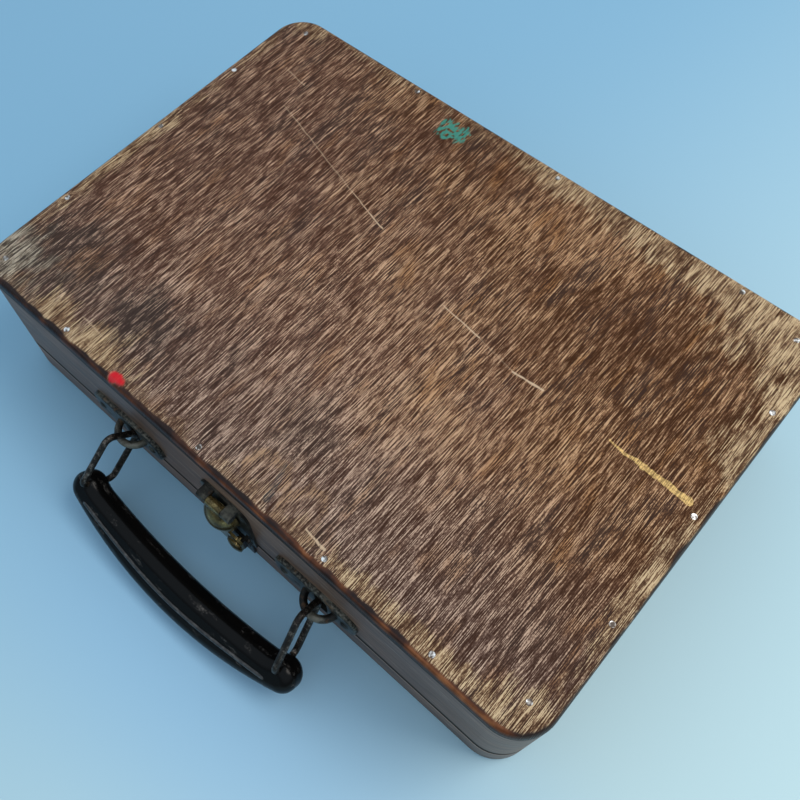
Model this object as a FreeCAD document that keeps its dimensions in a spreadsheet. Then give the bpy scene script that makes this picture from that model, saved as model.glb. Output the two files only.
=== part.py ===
import FreeCAD, Part
import math
import os
import re
import Sketcher
from FreeCAD import Placement, Rotation, Vector

# A flat wooden microscope case: a shallow tray, a deep lid hinged at the back, a drooping
# handle on two wire links, and a domed latch. Millimetres, Z up. The origin is the centre of
# the underside, X runs along the case, and the handle side faces -Y.

doc = FreeCAD.newDocument("microscope_case")
sheet = doc.addObject("Spreadsheet::Sheet", "size")
sizes = set()
rows = 0


def driving(title, values):
    """Write one group of driving dimensions into the sheet, each with its own alias."""
    global rows
    rows += 1
    sheet.set(f"A{rows}", title)
    for alias, number in values.items():
        rows += 1
        sheet.set(f"A{rows}", alias)
        sheet.set(f"B{rows}", str(number))
        sheet.setAlias(f"B{rows}", alias)
        sizes.add(alias)
    doc.recompute()


case_sizes = {
    "case_length": 300,
    "case_width": 207,
    "base_depth": 21,
    "lid_depth": 56,
    "seam_gap": 0.4,
    "corner_radius": 16,
    "inner_corner": 16,
    "wall": 9,
    "panel": 4,
    "edge_round": 3.4,
    "seam_bevel": 0.6,
    "lip_thickness": 3,
    "lip_rise": 5,
    "lip_clearance": 0.4,
    "lining": 1,
    "lining_gap": 0.3,
}
driving("the wooden case", case_sizes)

nail_sizes = {
    "nail_inset": 4.8,
    "nail_head": 1.2,
    "nail_head_depth": 0.7,
    "nail_proud": 0.15,
    "nail_shank": 0.65,
    "nail_length": 17,
}
driving("nails of the panels", nail_sizes)

fitting_sizes = {
    "tube_span": 154,
    "cradle_thickness": 18,
    "cradle_gap": 5.1,
    "cradle_height": 33,
    "tube_radius": 19,
    "tube_height": 41,
    "cradle_felt": 1.5,
    "foot_inset": 16.6,
    "foot_length": 58,
    "foot_width": 128,
    "foot_height": 27,
    "foot_wall": 11,
    "foot_floor": 7,
    "foot_mouth": 40,
    "block_gap": 19,
    "block_length": 116,
    "block_width": 32,
    "block_height": 26,
    "block_inset": 6,
    "socket_radius": 11,
    "socket_depth": 19,
    "socket_pitch": 37,
    "clamp_thickness": 14,
    "clamp_length": 74,
    "clamp_drop": 17,
}
driving("fittings inside", fitting_sizes)

hinge_sizes = {
    "hinge_inset": 58,
    "hinge_length": 33,
    "hinge_leaf": 14,
    "leaf_thickness": 1.2,
    "leaf_corner": 2,
    "knuckle_radius": 2.5,
    "hinge_offset": 2.8,
    "hinge_pin_radius": 1.2,
    "running_gap": 0.05,
    "knuckle_gap": 0.2,
    "leaf_clearance": 0.3,
    "hinge_screw_pitch": 22,
    "screw_head_radius": 2.2,
    "screw_shank_radius": 0.9,
    "screw_length": 7.5,
    "screw_head_rise": 0.7,
}
driving("hinges at the back", hinge_sizes)

plate_sizes = {
    "handle_place": 56.5,
    "handle_axis_height": 36,
    "handle_axis_offset": 11.2,
    "plate_length": 44,
    "plate_height": 19,
    "plate_thickness": 2.2,
    "plate_corner": 8,
    "plate_edge_round": 1.2,
    "plate_shift": 3.5,
    "slot_width": 6.4,
    "slot_height": 14,
    "slot_corner": 1.5,
    "eye_bar_radius": 1.7,
    "eye_bow": 8,
    "eye_reach": 8.1,
    "eye_bed": 0.15,
    "plate_rivet_pitch": 33,
    "rivet_shank_radius": 1.1,
    "rivet_head_radius": 2.3,
    "rivet_head_rise": 1,
    "rivet_length": 7,
}
driving("handle plates", plate_sizes)

handle_sizes = {
    "wire_radius": 1.5,
    "link_radius": 8.75,
    "link_back": 6.6,
    "link_reach": 23,
    "link_corner": 3.6,
    "link_hole_gap": 0.1,
    "grip_end": 68.2,
    "grip_end_radius": 7.6,
    "grip_outer": 46,
    "grip_inner": 26.5,
    "grip_outer_bow": 175,
    "grip_inner_bow": 338,
    "grip_blend": 14,
    "grip_thickness": 13,
    "grip_round": 5,
}
driving("handle", handle_sizes)

keeper_sizes = {
    "latch_place": 4,
    "latch_plate_width": 27,
    "latch_plate_margin": 0.3,
    "latch_plate_corner": 7,
    "latch_sheet": 1.2,
    "latch_knuckle_radius": 2.1,
    "latch_pin_radius": 1,
    "plate_knuckle_length": 5,
    "keeper_plate_width": 20,
    "keeper_plate_foot": 5.5,
    "keeper_width": 6,
    "keeper_stem": 1.5,
    "keeper_gap": 0.3,
    "keeper_wall": 0.65,
    "keeper_bond": 8,
    "small_rivet_radius": 1.6,
    "small_rivet_shank": 0.8,
    "small_rivet_rise": 0.6,
    "small_rivet_length": 5,
    "small_rivet_inset": 3,
}
driving("the latch's plate and keeper", keeper_sizes)

hasp_sizes = {
    "hasp_rear": 5.6,
    "hasp_neck": 8,
    "hasp_heel": 7,
    "hasp_toe": 12.5,
    "hasp_drop": 6,
    "hasp_rise": 7,
    "hasp_corner": 4,
    "dome_gap": 1.05,
    "dome_neck": 1,
    "dome_radius": 8.5,
    "dome_rear": 1.9,
    "dome_skirt": 5,
    "dome_front": 10,
    "dome_wall": 1.1,
    "bolt_place": 3.7,
    "bolt_height": 33,
    "bolt_width": 5,
    "bolt_thickness": 1.5,
    "bolt_rear": 2.45,
    "bolt_length": 10.2,
    "bolt_travel": 3.5,
    "guide_place": 10.8,
    "guide_thickness": 1.5,
    "guide_wall": 1.2,
    "guide_gap": 0.1,
    "button_place": 9,
    "button_radius": 4.2,
    "button_gap": 0.3,
    "button_thickness": 2,
    "button_rim": 0.9,
    "button_shank": 1.5,
}
driving("the latch's hasp and bolt", hasp_sizes)

# Angles in degrees: how far the handle droops, and how the links lean in its bores
HANDLE_DROOP = 46
LINK_TWIST = 4.5
LINK_SPLAY = 5.5

# Sizes that follow from the driving ones, as expressions
derived = {
    "front": "-case_width / 2",
    "back": "case_width / 2",
    "lid_bottom": "base_depth + seam_gap",
    "case_top": "base_depth + lid_depth",
    "ceiling": "base_depth + lid_depth - panel - lining",
    "seam": "base_depth + seam_gap / 2",
    "floor": "panel + lining",
    "half_length": "case_length / 2",
    "room_x": "case_length / 2 - wall",
    "room_y": "case_width / 2 - wall",
    "lip_x": "case_length / 2 - wall - lip_clearance",
    "lip_y": "case_width / 2 - wall - lip_clearance",
    "tray_x": "case_length / 2 - wall - lip_clearance - lip_thickness",
    "tray_y": "case_width / 2 - wall - lip_clearance - lip_thickness",
    "foot_place": "tray_x - foot_inset - foot_length / 2",
    "cradle_place": "tube_span - foot_place",
    "cradle_length": "2 * (block_front - cradle_gap)",
    "cradle_top": "floor + cradle_height",
    "clamp_low": "ceiling - clamp_drop",
    "felt_radius": "tube_radius - cradle_felt",
    "block_place": "foot_length / 2 + block_gap + block_length / 2 - foot_place",
    "block_back": "tray_y - block_inset",
    "block_front": "block_back - block_width",
    "hinge_place": "half_length - hinge_inset",
    "hinge_axis": "back + hinge_offset",
    "leaf_start": "knuckle_radius + leaf_clearance",
    "eye_centre": "eye_reach - eye_bow",
    "eye_rim": "sqrt(eye_bow * eye_bow + eye_bar_radius * eye_bar_radius)",
    "eye_half": "acos((eye_bed - eye_centre) / eye_rim) - atan(eye_bar_radius / eye_bow)",
    "hasp_foot": "bolt_height - hasp_drop",
    "hasp_shoulder": "bolt_height + hasp_rise",
    "dome_height": "eye_high + dome_gap + dome_radius",
    "latch_axis_height": "dome_height + dome_radius + dome_neck + latch_knuckle_radius",
    "latch_plate_top": "latch_axis_height + latch_knuckle_radius + latch_plate_margin",
    "latch_axis": "hasp_rear + latch_sheet - latch_knuckle_radius",
    "hasp_front": "hasp_rear + latch_sheet",
    "bolt_front": "bolt_rear + bolt_thickness",
    "button_rear": "hasp_front + button_gap",
    "button_front": "button_rear + button_thickness",
    "plate_foot": "lid_bottom + seam_gap",
    "eye_low": "bolt_height - bolt_width / 2 - keeper_gap - keeper_wall",
    "eye_high": "bolt_height + bolt_width / 2 + keeper_gap + keeper_wall",
    "stem_rear": "bolt_rear - keeper_gap - keeper_wall",
    "stem_front": "bolt_front + keeper_gap + keeper_wall",
}
word = re.compile(r"[A-Za-z_]\w*")


def full(text):
    """Turn plain names into references to the sheet, and derived names into their sums."""
    def swap(match):
        name = match.group(0)
        if name in derived:
            return f"({full(derived[name])})"
        return f"size.{name}" if name in sizes else name
    return word.sub(swap, text)


def value(text):
    return float(sheet.evalExpression(full(text)))


def half_chord(radius, height):
    """Half the width of a circle of that radius, at that height from its centre."""
    return f"sqrt({radius} * {radius} - ({height}) * ({height}))"


def crown(radius, rise):
    """The radius of a cap of that rise over a rim of that radius."""
    return f"({radius} * {radius} + ({rise}) * ({rise})) / (2 * ({rise}))"


# Sketches and features

def place(made, x="0", y="0", z="0", turn=None):
    """Give a piece its placement, bound to the sheet."""
    if turn:
        made.Placement = Placement(Vector(), turn)
    for axis, text in (("x", x), ("y", y), ("z", z)):
        if text != "0":
            made.setExpression(f"Placement.Base.{axis}", full(text))
    return made


def body(label, x="0", y="0", z="0", turn=None):
    made = doc.addObject("PartDesign::Body", label)
    made.Label = label
    return place(made, x, y, z, turn)


def sketch(owner, role, offset="0", x="0", y="0"):
    """A sketch on one of the body's own origin planes, moved along its normal or in it."""
    made = owner.newObject("Sketcher::SketchObject", owner.Label + "_profile")
    plane = next(f for f in owner.Origin.OriginFeatures if f.Role == role)
    made.AttachmentSupport = [(plane, "")]
    made.MapMode = "FlatFace"
    for axis, text in (("x", x), ("y", y), ("z", offset)):
        if text != "0":
            made.setExpression(f"AttachmentOffset.Base.{axis}", full(text))
    return made


def pin_point(drawing, edge, end, x, y):
    """Hold one end of an edge at x and y, each an expression."""
    for axis, text, line in (("X", x, -2), ("Y", y, -1)):
        where = value(text)
        if abs(where) < 1e-9:
            drawing.addConstraint(Sketcher.Constraint("PointOnObject", edge, end, line))
        else:
            rule = Sketcher.Constraint("Distance" + axis, -1, 1, edge, end, where)
            index = drawing.addConstraint(rule)
            drawing.setExpression(f"Constraints[{index}]", full(text))


def outline(drawing, points):
    """A closed outline: each point is (x, y), or (x, y, radius, side) where an arc of that
    radius leads to it from the point before, bulging to the left (1) or right (-1)."""
    count = len(points)
    spots = [(value(p[0]), value(p[1])) for p in points]
    first = drawing.GeometryCount
    ends = []
    for i in range(count):
        (ax, ay), (bx, by) = spots[i], spots[(i + 1) % count]
        arc = points[(i + 1) % count][2:]
        if not arc:
            drawing.addGeometry(Part.LineSegment(Vector(ax, ay, 0), Vector(bx, by, 0)), False)
            ends.append((1, 2))
            continue
        radius, side = value(arc[0]), arc[1]
        half = math.hypot(bx - ax, by - ay) / 2
        rise = math.sqrt(max(radius * radius - half * half, 0))
        nx, ny = -(by - ay) / (2 * half), (bx - ax) / (2 * half)
        cx = (ax + bx) / 2 - side * nx * rise
        cy = (ay + by) / 2 - side * ny * rise
        start = math.atan2(ay - cy, ax - cx)
        stop = math.atan2(by - cy, bx - cx)
        round_edge = Part.Circle(Vector(cx, cy, 0), Vector(0, 0, 1), radius)
        if side > 0:
            drawing.addGeometry(Part.ArcOfCircle(round_edge, stop, start), False)
            ends.append((2, 1))
        else:
            drawing.addGeometry(Part.ArcOfCircle(round_edge, start, stop), False)
            ends.append((1, 2))
    for i in range(count):
        after = (i + 1) % count
        join = Sketcher.Constraint("Coincident", first + i, ends[i][1], first + after,
                                   ends[after][0])
        drawing.addConstraint(join)
        pin_point(drawing, first + i, ends[i][0], points[i][0], points[i][1])
        arc = points[after][2:]
        if arc:
            rule = Sketcher.Constraint("Radius", first + i, value(arc[0]))
            drawing.setExpression(f"Constraints[{drawing.addConstraint(rule)}]", full(arc[0]))


def rectangle(drawing, x0, x1, y0, y1, corner=None):
    """A rectangle, with rounded corners where a corner radius is given."""
    if corner is None:
        outline(drawing, [(x0, y0), (x1, y0), (x1, y1), (x0, y1)])
        return
    outline(drawing, [
        (f"{x0} + {corner}", y0, corner, -1),
        (f"{x1} - {corner}", y0),
        (x1, f"{y0} + {corner}", corner, -1),
        (x1, f"{y1} - {corner}"),
        (f"{x1} - {corner}", y1, corner, -1),
        (f"{x0} + {corner}", y1),
        (x0, f"{y1} - {corner}", corner, -1),
        (x0, f"{y0} + {corner}"),
    ])


def circle(drawing, x, y, radius):
    centre = Vector(value(x), value(y), 0)
    index = drawing.addGeometry(Part.Circle(centre, Vector(0, 0, 1), value(radius)), False)
    rule = drawing.addConstraint(Sketcher.Constraint("Radius", index, value(radius)))
    drawing.setExpression(f"Constraints[{rule}]", full(radius))
    pin_point(drawing, index, 3, x, y)


def feature(owner, kind, profile, bound=None, **settings):
    """Add a feature made from a sketch, with its bound sizes and plain settings."""
    made = owner.newObject("PartDesign::" + kind, f"{owner.Label}_{kind}")
    made.Profile = profile
    for name, setting in settings.items():
        setattr(made, name, setting)
    for name, text in (bound or {}).items():
        made.setExpression(name, full(text))
    return made


def pad(owner, profile, length, **settings):
    return feature(owner, "Pad", profile, {"Length": length}, **settings)


def pocket(owner, profile, length=None, **settings):
    """A pocket of a given depth, or through everything both ways when none is given."""
    if length is None:
        return feature(owner, "Pocket", profile, Type="ThroughAll", Midplane=True, **settings)
    return feature(owner, "Pocket", profile, {"Length": length}, **settings)


def turned(owner, profile, line="H_Axis", angle="360", **settings):
    """Turn a profile about one of its sketch's own axes."""
    made = feature(owner, "Revolution", profile, {"Angle": angle}, **settings)
    made.ReferenceAxis = (profile, [line])
    return made


def soften(owner, kind, size, chosen):
    """Fillet or chamfer the edges of the body so far that the test chosen picks."""
    doc.recompute()
    base = owner.Tip
    edges = [f"Edge{i + 1}" for i, edge in enumerate(base.Shape.Edges) if chosen(edge)]
    made = owner.newObject("PartDesign::" + kind, f"{owner.Label}_{kind}")
    made.Base = (base, edges)
    made.setExpression("Radius" if kind == "Fillet" else "Size", full(size))
    doc.recompute()
    return made


def lies_at(axis, text):
    """Choose edges that lie whole in the plane where axis has the given value."""
    level = value(text)

    def test(edge):
        box = edge.BoundBox
        low = getattr(box, axis + "Min")
        high = getattr(box, axis + "Max")
        return abs(low - level) < 1e-4 and abs(high - level) < 1e-4
    return test


def group(label, solids):
    """One node of several separate solids, made with the shape functions."""
    made = doc.addObject("Part::Feature", label)
    made.Label = label
    made.Shape = Part.makeCompound(solids)
    return made


def rod(label, radius, length, x, y, z):
    """A round pin along X, from the place given."""
    made = doc.addObject("Part::Cylinder", label)
    made.Label = label
    made.setExpression("Radius", full(radius))
    made.setExpression("Height", full(length))
    return place(made, x, y, z, Rotation(Vector(0, 1, 0), 90))


# Wooden half shells

def wall_ring(label, bottom, top, bevel):
    """A wooden wall with rounded corners, bevelled where the two halves meet."""
    ring = body(label)
    rim = sketch(ring, "XY_Plane", bottom)
    rectangle(rim, "-half_length", "half_length", "front", "back", "corner_radius")
    rectangle(rim, "-room_x", "room_x", "-room_y", "room_y", "inner_corner")
    pad(ring, rim, f"{top} - ({bottom})")
    at_seam = lies_at("Z", bevel)
    reach = value("room_x")
    depth = value("room_y")

    def outer(edge):
        box = edge.BoundBox
        wide = max(abs(box.XMin), abs(box.XMax)) > reach + 1e-3
        deep = max(abs(box.YMin), abs(box.YMax)) > depth + 1e-3
        return at_seam(edge) and (wide or deep)
    soften(ring, "Chamfer", "seam_bevel", outer)


def cover_panel(label, bottom, rounded):
    """A plywood panel as large as the case, its outer edge rounded over."""
    board = body(label)
    face = sketch(board, "XY_Plane", bottom)
    rectangle(face, "-half_length", "half_length", "front", "back", "corner_radius")
    pad(board, face, "panel")
    soften(board, "Fillet", "edge_round", lies_at("Z", rounded))


wall_ring("base_wall_ring", "panel", "base_depth", "base_depth")
wall_ring("lid_wall_ring", "lid_bottom", "case_top - panel", "lid_bottom")
cover_panel("base_bottom_panel", "0", "0")
cover_panel("lid_top_panel", "case_top - panel", "case_top")

# The nails sit along the edges of both panels, unevenly, as they were driven by hand. The
# shares are of half the case's length and width.
corner_nail_shares = ((-0.93, -0.9), (0.929, -0.86), (0.907, 0.894), (-0.905, 0.9))
front_nail_shares = (-0.605, -0.07, 0.371, 0.704)
back_nail_shares = (-0.447, 0.1, 0.72)
right_nail_shares = (-0.48, 0.02, 0.557)
left_nail_shares = (-0.52, 0.03, 0.5)


def nail_places(surface):
    """Where the nails of a panel sit on its surface."""
    half_x = value("half_length")
    half_y = value("back")
    inset = value("nail_inset")
    places = [(x * half_x, y * half_y) for x, y in corner_nail_shares]
    places += [(x * half_x, inset - half_y) for x in front_nail_shares]
    places += [(x * half_x, half_y - inset) for x in back_nail_shares]
    places += [(half_x - inset, y * half_y) for y in right_nail_shares]
    places += [(inset - half_x, y * half_y) for y in left_nail_shares]
    return [Vector(x, y, value(surface)) for x, y in places]


def shank_of(radius, length):
    """A six-sided shank along -Z, from z = 0. It is out of sight in the wood."""
    turns = [i * math.pi / 3 for i in range(7)]
    corners = [Vector(math.cos(turn), math.sin(turn), 0) * value(radius) for turn in turns]
    return Part.Face(Part.makePolygon(corners)).extrude(Vector(0, 0, -value(length)))


def headed(head, shank, rise, length):
    """A rivet or screw along -Z, whose low domed head stands on z = 0."""
    radius = value(crown(head, rise))
    top = value(rise)
    ball = Part.makeSphere(radius, Vector(0, 0, top - radius))
    cap = ball.common(Part.makeCylinder(value(head), top))
    return cap.fuse(shank_of(shank, length)).removeSplitter()


def copies(label, one, spots, turn):
    """One node of a fastener's copies, each at a spot and turned alike."""
    solids = []
    for spot in spots:
        copy = one.copy()
        copy.Placement = Placement(spot, turn)
        solids.append(copy)
    group(label, solids)


# A wire nail's flat head is sunk but for a little.
head_disc = Part.makeCylinder(value("nail_head"), value("nail_head_depth + nail_proud"),
                              Vector(0, 0, -value("nail_head_depth")))
nail = head_disc.fuse(shank_of("nail_shank", "nail_length"))
copies("lid_panel_nails", nail, nail_places("case_top"), Rotation())
copies("base_panel_nails", nail, nail_places("nail_proud"), Rotation(Vector(1, 0, 0), 180))

# The tray's inner lip stands up past the seam and lines the lid up.
lip = body("base_lip_ring")
lip_rim = sketch(lip, "XY_Plane", "panel")
rectangle(lip_rim, "-lip_x", "lip_x", "-lip_y", "lip_y", "(inner_corner - lip_clearance)")
rectangle(lip_rim, "-tray_x", "tray_x", "-tray_y", "tray_y",
          "(inner_corner - lip_clearance - lip_thickness)")
pad(lip, lip_rim, "lid_bottom + lip_rise - panel")

# Felt on the tray's floor and under the lid's panel
tray_felt = body("base_lining")
tray_face = sketch(tray_felt, "XY_Plane", "panel")
rectangle(tray_face, "-tray_x + lining_gap", "tray_x - lining_gap", "-tray_y + lining_gap",
          "tray_y - lining_gap", "(inner_corner - lip_clearance - lip_thickness)")
pad(tray_felt, tray_face, "lining")

lid_felt = body("lid_lining")
lid_face = sketch(lid_felt, "XY_Plane", "ceiling")
rectangle(lid_face, "-room_x + lining_gap", "room_x - lining_gap", "-room_y + lining_gap",
          "room_y - lining_gap", "inner_corner")
pad(lid_felt, lid_face, "lining")

# The tube cradle stands across the tray. The instrument's tube lies in its felted notch.
notch = half_chord("tube_radius", "tube_height - cradle_top")
felt_notch = half_chord("felt_radius", "tube_height - cradle_top")
cradle = body("tube_cradle")
saddle = sketch(cradle, "YZ_Plane", "cradle_place - cradle_thickness / 2")
outline(saddle, [
    ("-cradle_length / 2", "floor"),
    ("cradle_length / 2", "floor"),
    ("cradle_length / 2", "cradle_top"),
    (notch, "cradle_top"),
    (f"-{notch}", "cradle_top", "tube_radius", 1),
    ("-cradle_length / 2", "cradle_top"),
])
pad(cradle, saddle, "cradle_thickness")

strip = body("tube_cradle_felt")
strip_face = sketch(strip, "YZ_Plane", "cradle_place - cradle_thickness / 2")
outline(strip_face, [
    (f"-{notch}", "cradle_top"),
    (notch, "cradle_top", "tube_radius", -1),
    (felt_notch, "cradle_top"),
    (f"-{felt_notch}", "cradle_top", "felt_radius", 1),
])
pad(strip, strip_face, "cradle_thickness")

# The foot cradle has a recess for the instrument's foot, open towards the tube cradle.
foot = body("foot_cradle", x="-foot_place")
foot_face = sketch(foot, "XY_Plane", "floor")
rectangle(foot_face, "-foot_length / 2", "foot_length / 2", "-foot_width / 2", "foot_width / 2")
pad(foot, foot_face, "foot_height")
foot_room = sketch(foot, "XY_Plane", "floor + foot_height")
outline(foot_room, [
    ("-foot_length / 2 + foot_wall", "-foot_width / 2 + foot_wall"),
    ("foot_length / 2 - foot_wall", "-foot_width / 2 + foot_wall"),
    ("foot_length / 2 - foot_wall", "-foot_mouth / 2"),
    ("foot_length / 2", "-foot_mouth / 2"),
    ("foot_length / 2", "foot_mouth / 2"),
    ("foot_length / 2 - foot_wall", "foot_mouth / 2"),
    ("foot_length / 2 - foot_wall", "foot_width / 2 - foot_wall"),
    ("-foot_length / 2 + foot_wall", "foot_width / 2 - foot_wall"),
])
pocket(foot, foot_room, "foot_height - foot_floor")

# A bored block at the back holds eyepieces and objectives.
block = body("accessory_block", x="block_place")
block_face = sketch(block, "XY_Plane", "floor")
rectangle(block_face, "-block_length / 2", "block_length / 2", "block_front", "block_back")
pad(block, block_face, "block_height")
sockets = sketch(block, "XY_Plane", "floor + block_height")
for step in (-1, 0, 1):
    circle(sockets, f"{step} * socket_pitch", "block_front + block_width / 2", "socket_radius")
pocket(block, sockets, "socket_depth")

# In the lid, a felted block holds the tube down when the case is shut.
hold = half_chord("tube_radius", "clamp_low - tube_height")
felt_hold = half_chord("felt_radius", "clamp_low - tube_height")
clamp = body("lid_clamp_block")
clamp_face = sketch(clamp, "YZ_Plane", "cradle_place - clamp_thickness / 2")
outline(clamp_face, [
    ("-clamp_length / 2", "clamp_low"),
    (f"-{hold}", "clamp_low"),
    (hold, "clamp_low", "tube_radius", 1),
    ("clamp_length / 2", "clamp_low"),
    ("clamp_length / 2", "ceiling"),
    ("-clamp_length / 2", "ceiling"),
])
pad(clamp, clamp_face, "clamp_thickness")

clamp_felt = body("lid_clamp_felt")
clamp_strip = sketch(clamp_felt, "YZ_Plane", "cradle_place - clamp_thickness / 2")
outline(clamp_strip, [
    (hold, "clamp_low"),
    (f"-{hold}", "clamp_low", "tube_radius", -1),
    (f"-{felt_hold}", "clamp_low"),
    (felt_hold, "clamp_low", "felt_radius", 1),
])
pad(clamp_felt, clamp_strip, "clamp_thickness")


# Butt hinges on the outside of the back walls. The tray's leaves carry the two outer knuckles
# and the lid's leaves the middle one.

def hinge_leaf(label, spot, up, knuckle_shares):
    """A leaf above (up = 1) or below (up = -1) the pin, with knuckles on shares of its length."""
    leaf = body(label, x=spot, y="back", z="seam")
    near = f"{up} * leaf_start"
    far = f"{up} * (leaf_start + hinge_leaf)"
    low, high = (near, far) if up > 0 else (far, near)
    flat = sketch(leaf, "XZ_Plane", "-leaf_thickness")
    rectangle(flat, "-hinge_length / 2", "hinge_length / 2", low, high, "leaf_corner")
    for step in (-1, 1):
        circle(flat, f"{step} * hinge_screw_pitch / 2", f"{up} * (leaf_start + hinge_leaf / 2)",
               "screw_shank_radius + running_gap")
    pad(leaf, flat, "leaf_thickness")
    for start, stop in knuckle_shares:
        first = "knuckle_gap / 2" if start > 0 else "0"
        last = "knuckle_gap / 2" if stop < 1 else "0"
        left = f"({start} - 1 / 2) * hinge_length + {first}"
        length = f"({stop} - {start}) * hinge_length - {first} - {last}"
        web = sketch(leaf, "YZ_Plane", left)
        reach = f"{up} * (leaf_start + leaf_corner)"
        rectangle(web, "0", "leaf_thickness", *(("0", reach) if up > 0 else (reach, "0")))
        pad(leaf, web, length)
        roll = sketch(leaf, "YZ_Plane", left)
        circle(roll, "hinge_offset", "0", "knuckle_radius")
        pad(leaf, roll, length)
    bore = sketch(leaf, "YZ_Plane")
    circle(bore, "hinge_offset", "0", "hinge_pin_radius + running_gap")
    pocket(leaf, bore)


for side, spot in (("left", "-hinge_place"), ("right", "hinge_place")):
    hinge_leaf(f"{side}_hinge_base_leaf", spot, -1, ((0, 1 / 3), (2 / 3, 1)))
    hinge_leaf(f"{side}_hinge_lid_leaf", spot, 1, ((1 / 3, 2 / 3),))
    rod(f"{side}_hinge_pin", "hinge_pin_radius", "hinge_length", f"{spot} - hinge_length / 2",
        "hinge_axis", "seam")


def fasteners(label, one, spots, level, outward):
    """Fasteners at x and z on a face at y = level that looks to the back (1) or front (-1)."""
    turn = Rotation(Vector(1, 0, 0), -90 * outward)
    copies(label, one, [Vector(value(x), value(level), value(z)) for x, z in spots], turn)


screw = headed("screw_head_radius", "screw_shank_radius", "screw_head_rise", "screw_length")
screw_row = [f"{side} * hinge_place + {step} * hinge_screw_pitch / 2"
             for side in (-1, 1) for step in (-1, 1)]
for label, up in (("base_hinge_screws", -1), ("lid_hinge_screws", 1)):
    height = f"seam + {up} * (leaf_start + hinge_leaf / 2)"
    fasteners(label, screw, [(x, height) for x in screw_row], "back + leaf_thickness", 1)

# Handle plates on the lid's front wall, set a little to the left of the links. A bowed bar
# stands over a slot, its two ends bedded in the plate, and the link passes behind it.
for side, spot in (("left", "-handle_place"), ("right", "handle_place")):
    plate = body(f"{side}_handle_plate", x=spot, y="front", z="handle_axis_height")
    plate_face = sketch(plate, "XZ_Plane")
    rectangle(plate_face, "-plate_length / 2 - plate_shift", "plate_length / 2 - plate_shift",
              "-plate_height / 2", "plate_height / 2", "plate_corner")
    rectangle(plate_face, "-slot_width / 2", "slot_width / 2", "-slot_height / 2",
              "slot_height / 2", "slot_corner")
    for step in (-1, 1):
        circle(plate_face, f"{step} * plate_rivet_pitch / 2 - plate_shift", "0",
               "rivet_shank_radius + running_gap")
    pad(plate, plate_face, "plate_thickness")
    rim = value("plate_height / 2 - plate_corner")
    soften(plate, "Fillet", "plate_edge_round", lambda edge: lies_at("Y", "-plate_thickness")(edge)
           and (edge.BoundBox.ZMax > rim or edge.BoundBox.ZMin < -rim)
           and (edge.BoundBox.DiagonalLength > value("plate_corner")))
    bar = sketch(plate, "YZ_Plane", x="-eye_centre")
    circle(bar, "-eye_bow", "0", "eye_bar_radius")
    turned(plate, bar, "V_Axis", "2 * eye_half", Midplane=True)

rivet = headed("rivet_head_radius", "rivet_shank_radius", "rivet_head_rise", "rivet_length")
rivet_row = [f"{side} * handle_place - plate_shift + {step} * plate_rivet_pitch / 2"
             for side in (-1, 1) for step in (-1, 1)]
fasteners("handle_plate_rivets", rivet, [(x, "handle_axis_height") for x in rivet_row],
          "front - plate_thickness", -1)

# The handle in its own frame: X along the pivot, -Y out along the links, Z up through them.
droop = Rotation(Vector(1, 0, 0), HANDLE_DROOP)
pivot = Vector(0, value("front - handle_axis_offset"), value("handle_axis_height"))
leans = {}
for side, sign in (("left", -1), ("right", 1)):
    splay = Rotation(Vector(0, 0, 1), sign * LINK_SPLAY)
    lean = splay.multiply(Rotation(Vector(0, 1, 0), sign * LINK_TWIST))
    leans[sign] = lean
    link = body(f"{side}_handle_link", x=f"{sign} * handle_place",
                y="front - handle_axis_offset", z="handle_axis_height",
                turn=droop.multiply(lean))
    path = sketch(link, "YZ_Plane")
    outline(path, [
        ("0", "link_radius"),
        ("link_back - link_corner", "link_radius"),
        ("link_back", "link_radius - link_corner", "link_corner", 1),
        ("link_back", "-link_radius + link_corner"),
        ("link_back - link_corner", "-link_radius", "link_corner", 1),
        ("-link_reach + link_corner", "-link_radius"),
        ("-link_reach", "-link_radius + link_corner", "link_corner", 1),
        ("-link_reach", "link_radius - link_corner"),
        ("-link_reach + link_corner", "link_radius", "link_corner", 1),
    ])
    section = sketch(link, "XZ_Plane")
    circle(section, "0", "link_radius", "wire_radius")
    wire = feature(link, "AdditivePipe", section)
    wire.Spine = (path, [])

# The grip is a crescent with a round boss at each end, drawn as six arcs that meet smoothly.
outer_radius = value("grip_outer_bow")
inner_radius = value("grip_inner_bow")
end_radius = value("grip_end_radius")
blend_radius = value("grip_blend")
outer_y = value("grip_outer_bow - grip_outer")
inner_y = value("grip_inner_bow - grip_inner")
end_x = value("grip_end - grip_end_radius")
end_y = outer_y - math.sqrt((outer_radius - end_radius) ** 2 - end_x ** 2)
# The blend arc touches the boss from outside and the inner bow from within.
span = math.hypot(end_x, inner_y - end_y)
along = ((inner_radius - blend_radius) ** 2 - (end_radius + blend_radius) ** 2 + span ** 2) \
    / (2 * span)
aside = math.sqrt((inner_radius - blend_radius) ** 2 - along ** 2)
blend_x = (along * end_x - aside * (inner_y - end_y)) / span
blend_y = inner_y - (along * (inner_y - end_y) + aside * end_x) / span
to_boss = math.atan2(end_y - outer_y, end_x)
to_blend = math.atan2(blend_y - end_y, blend_x - end_x)
to_inner = math.atan2(blend_y - inner_y, blend_x)
half_turn = math.pi

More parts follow.
